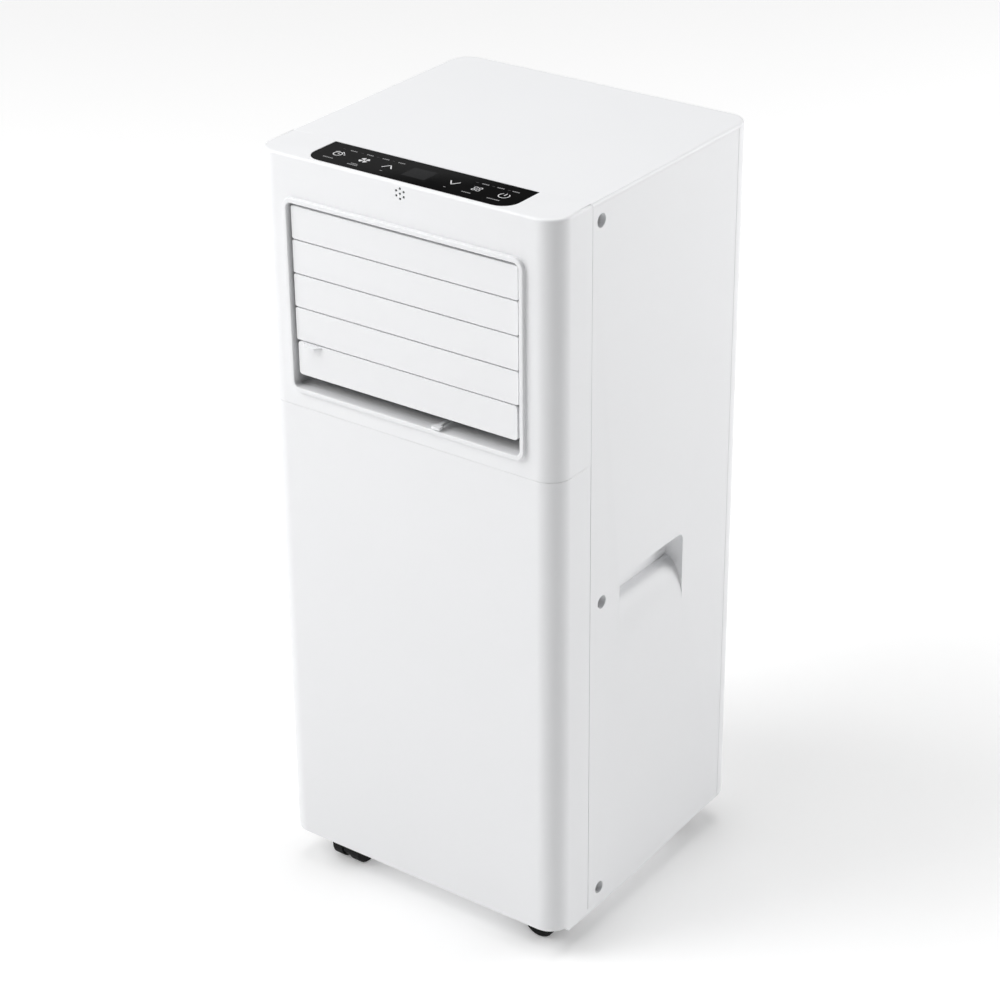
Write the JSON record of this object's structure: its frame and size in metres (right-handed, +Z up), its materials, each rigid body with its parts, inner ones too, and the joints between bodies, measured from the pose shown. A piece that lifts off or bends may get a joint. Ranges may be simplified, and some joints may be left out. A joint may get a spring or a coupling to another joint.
{
  "type": "portable air conditioner",
  "caption": "Tall white portable air conditioner on castors, with a tilting louvre outlet, touch control strip, side carrying scoops and rear exhaust port.",
  "frame": {"origin": "on the floor, under the middle of the object", "axes": "+Z up, the air outlet faces -Y, +X to the right of someone facing the outlet"},
  "size_m": [0.3, 0.2994, 0.7],
  "materials": {
    "shell": "satin white moulded ABS, fine grain",
    "louvre": "satin white moulded ABS",
    "duct": "satin light grey moulded ABS",
    "lens": "polished black acrylic with printed symbols",
    "castor": "black nylon",
    "steel": "zinc-plated steel",
    "coil": "bare aluminium fins",
    "copper": "drawn copper tube",
    "compressor": "black enamel",
    "black": "black moulded plastic",
    "board": "green solder mask",
    "foam": "expanded polystyrene",
    "mesh": "woven nylon filter mesh"
  },
  "bodies": {
    "root": {"accumulator": "compressor", "base_tray": "shell", "capacitor": "steel", "capillary_tube": "copper", "compressor": "compressor", "condenser_blower_housing": "black", "condenser_blower_motor": "steel", "condenser_coil": "coil", "control_board": "board", "control_carrier": "duct", "control_lens": "lens", "cord_gland": "black", "discharge_pipe": "copper", "display_module": "black", "electrical_box": "steel", "evaporator_blower_housing": "foam", "evaporator_blower_motor": "steel", "evaporator_coil": "coil", "exhaust_collar": "shell", "front_lower_panel": "shell", "front_upper_panel": "shell", "middle_deck": "duct", "outlet_duct": "louvre", "rear_panel": "shell", "side_panel_left": "shell", "side_panel_right": "shell", "side_screw_left_lower": "steel", "side_screw_left_middle": "steel", "side_screw_left_upper": "steel", "side_screw_right_lower": "steel", "side_screw_right_middle": "steel", "side_screw_right_upper": "steel", "suction_pipe": "copper", "top_cover": "shell"},
    "louvre_blade_1": {"louvre_blade_1": "louvre"},
    "louvre_blade_2": {"louvre_blade_2": "louvre"},
    "louvre_blade_3": {"louvre_blade_3": "louvre"},
    "louvre_blade_4": {"louvre_blade_4": "louvre"},
    "louvre_blade_5": {"louvre_blade_5": "louvre"},
    "vane_1": {"vane_1": "duct"},
    "vane_2": {"vane_2": "duct"},
    "vane_3": {"vane_3": "duct"},
    "vane_4": {"vane_4": "duct"},
    "vane_5": {"vane_5": "duct"},
    "louvre_link": {"louvre_link": "duct"},
    "vane_link": {"vane_link": "louvre"},
    "evaporator_wheel": {"evaporator_blower_wheel": "black"},
    "condenser_wheel": {"condenser_blower_wheel": "black"},
    "filter": {"filter_frame": "shell", "filter_mesh": "mesh"},
    "drain_plug": {"drain_plug": "black"},
    "castor_front_left": {"castor_fork_front_left": "castor"},
    "wheels_front_left": {"castor_wheels_front_left": "castor"},
    "castor_front_right": {"castor_fork_front_right": "castor"},
    "wheels_front_right": {"castor_wheels_front_right": "castor"},
    "castor_rear_left": {"castor_fork_rear_left": "castor"},
    "wheels_rear_left": {"castor_wheels_rear_left": "castor"},
    "castor_rear_right": {"castor_fork_rear_right": "castor"},
    "wheels_rear_right": {"castor_wheels_rear_right": "castor"}
  },
  "joints": [
    {"name": "louvre_blade_1_tilt", "type": "hinge", "parent": "root", "child": "louvre_blade_1", "pos_m": [0, -0.1332, 0.64235], "axis": [1, 0, 0], "range_deg": [0, 80]},
    {"name": "louvre_blade_2_tilt", "type": "hinge", "parent": "root", "child": "louvre_blade_2", "pos_m": [0, -0.1332, 0.61225], "axis": [1, 0, 0], "range_deg": [0, 80]},
    {"name": "louvre_blade_3_tilt", "type": "hinge", "parent": "root", "child": "louvre_blade_3", "pos_m": [0, -0.1332, 0.58215], "axis": [1, 0, 0], "range_deg": [0, 80]},
    {"name": "louvre_blade_4_tilt", "type": "hinge", "parent": "root", "child": "louvre_blade_4", "pos_m": [0, -0.1332, 0.55205], "axis": [1, 0, 0], "range_deg": [0, 80]},
    {"name": "louvre_blade_5_tilt", "type": "hinge", "parent": "root", "child": "louvre_blade_5", "pos_m": [0, -0.1332, 0.52195], "axis": [1, 0, 0], "range_deg": [0, 80]},
    {"name": "louvre_link_pivot", "type": "hinge", "parent": "louvre_blade_1", "child": "louvre_link", "pos_m": [0.124, -0.1232, 0.64235], "axis": [1, 0, 0], "range_deg": [-80, 0]},
    {"name": "vane_1_swing", "type": "hinge", "parent": "root", "child": "vane_1", "pos_m": [-0.092, -0.09, 0.575], "axis": [0, 0, 1], "range_deg": [-35, 35]},
    {"name": "vane_2_swing", "type": "hinge", "parent": "root", "child": "vane_2", "pos_m": [-0.046, -0.09, 0.575], "axis": [0, 0, 1], "range_deg": [-35, 35]},
    {"name": "vane_3_swing", "type": "hinge", "parent": "root", "child": "vane_3", "pos_m": [0, -0.09, 0.575], "axis": [0, 0, 1], "range_deg": [-35, 35]},
    {"name": "vane_4_swing", "type": "hinge", "parent": "root", "child": "vane_4", "pos_m": [0.046, -0.09, 0.575], "axis": [0, 0, 1], "range_deg": [-35, 35]},
    {"name": "vane_5_swing", "type": "hinge", "parent": "root", "child": "vane_5", "pos_m": [0.092, -0.09, 0.575], "axis": [0, 0, 1], "range_deg": [-35, 35]},
    {"name": "vane_link_pivot", "type": "hinge", "parent": "vane_1", "child": "vane_link", "pos_m": [-0.092, -0.103, 0.4971], "axis": [0, 0, 1], "range_deg": [-35, 35]},
    {"name": "evaporator_wheel_spin", "type": "hinge", "parent": "root", "child": "evaporator_wheel", "pos_m": [0, 0.015, 0.575], "axis": [1, 0, 0], "continuous": true},
    {"name": "condenser_wheel_spin", "type": "hinge", "parent": "root", "child": "condenser_wheel", "pos_m": [0.025, 0.069, 0.165], "axis": [0, 1, 0], "continuous": true},
    {"name": "filter_slide", "type": "slide", "parent": "root", "child": "filter", "axis": [0, 1, 0], "range_m": [0, 0.06]},
    {"name": "drain_plug_slide", "type": "slide", "parent": "root", "child": "drain_plug", "axis": [0, 1, 0], "range_m": [0, 0.02]},
    {"name": "castor_front_left_swivel", "type": "hinge", "parent": "root", "child": "castor_front_left", "pos_m": [-0.0995, -0.1, 0.034], "axis": [0, 0, 1], "continuous": true},
    {"name": "wheels_front_left_roll", "type": "hinge", "parent": "castor_front_left", "child": "wheels_front_left", "pos_m": [-0.0995, -0.1115, 0.016], "axis": [1, 0, 0], "continuous": true},
    {"name": "castor_front_right_swivel", "type": "hinge", "parent": "root", "child": "castor_front_right", "pos_m": [0.0995, -0.1, 0.034], "axis": [0, 0, 1], "continuous": true},
    {"name": "wheels_front_right_roll", "type": "hinge", "parent": "castor_front_right", "child": "wheels_front_right", "pos_m": [0.111, -0.1, 0.016], "axis": [0, 1, 0], "continuous": true},
    {"name": "castor_rear_left_swivel", "type": "hinge", "parent": "root", "child": "castor_rear_left", "pos_m": [-0.0995, 0.1, 0.034], "axis": [0, 0, 1], "continuous": true},
    {"name": "wheels_rear_left_roll", "type": "hinge", "parent": "castor_rear_left", "child": "wheels_rear_left", "pos_m": [-0.0995, 0.1115, 0.016], "axis": [-1, 0, 0], "continuous": true},
    {"name": "castor_rear_right_swivel", "type": "hinge", "parent": "root", "child": "castor_rear_right", "pos_m": [0.0995, 0.1, 0.034], "axis": [0, 0, 1], "continuous": true},
    {"name": "wheels_rear_right_roll", "type": "hinge", "parent": "castor_rear_right", "child": "wheels_rear_right", "pos_m": [0.111, 0.1, 0.016], "axis": [0, 1, 0], "continuous": true}
  ],
  "couplings": [
    {"joint": "louvre_blade_2_tilt", "follows": "louvre_blade_1_tilt", "ratio": 1},
    {"joint": "louvre_blade_3_tilt", "follows": "louvre_blade_1_tilt", "ratio": 1},
    {"joint": "louvre_blade_4_tilt", "follows": "louvre_blade_1_tilt", "ratio": 1},
    {"joint": "louvre_blade_5_tilt", "follows": "louvre_blade_1_tilt", "ratio": 1},
    {"joint": "louvre_link_pivot", "follows": "louvre_blade_1_tilt", "ratio": -1},
    {"joint": "vane_2_swing", "follows": "vane_1_swing", "ratio": 1},
    {"joint": "vane_3_swing", "follows": "vane_1_swing", "ratio": 1},
    {"joint": "vane_4_swing", "follows": "vane_1_swing", "ratio": 1},
    {"joint": "vane_5_swing", "follows": "vane_1_swing", "ratio": 1},
    {"joint": "vane_link_pivot", "follows": "vane_1_swing", "ratio": -1}
  ]
}
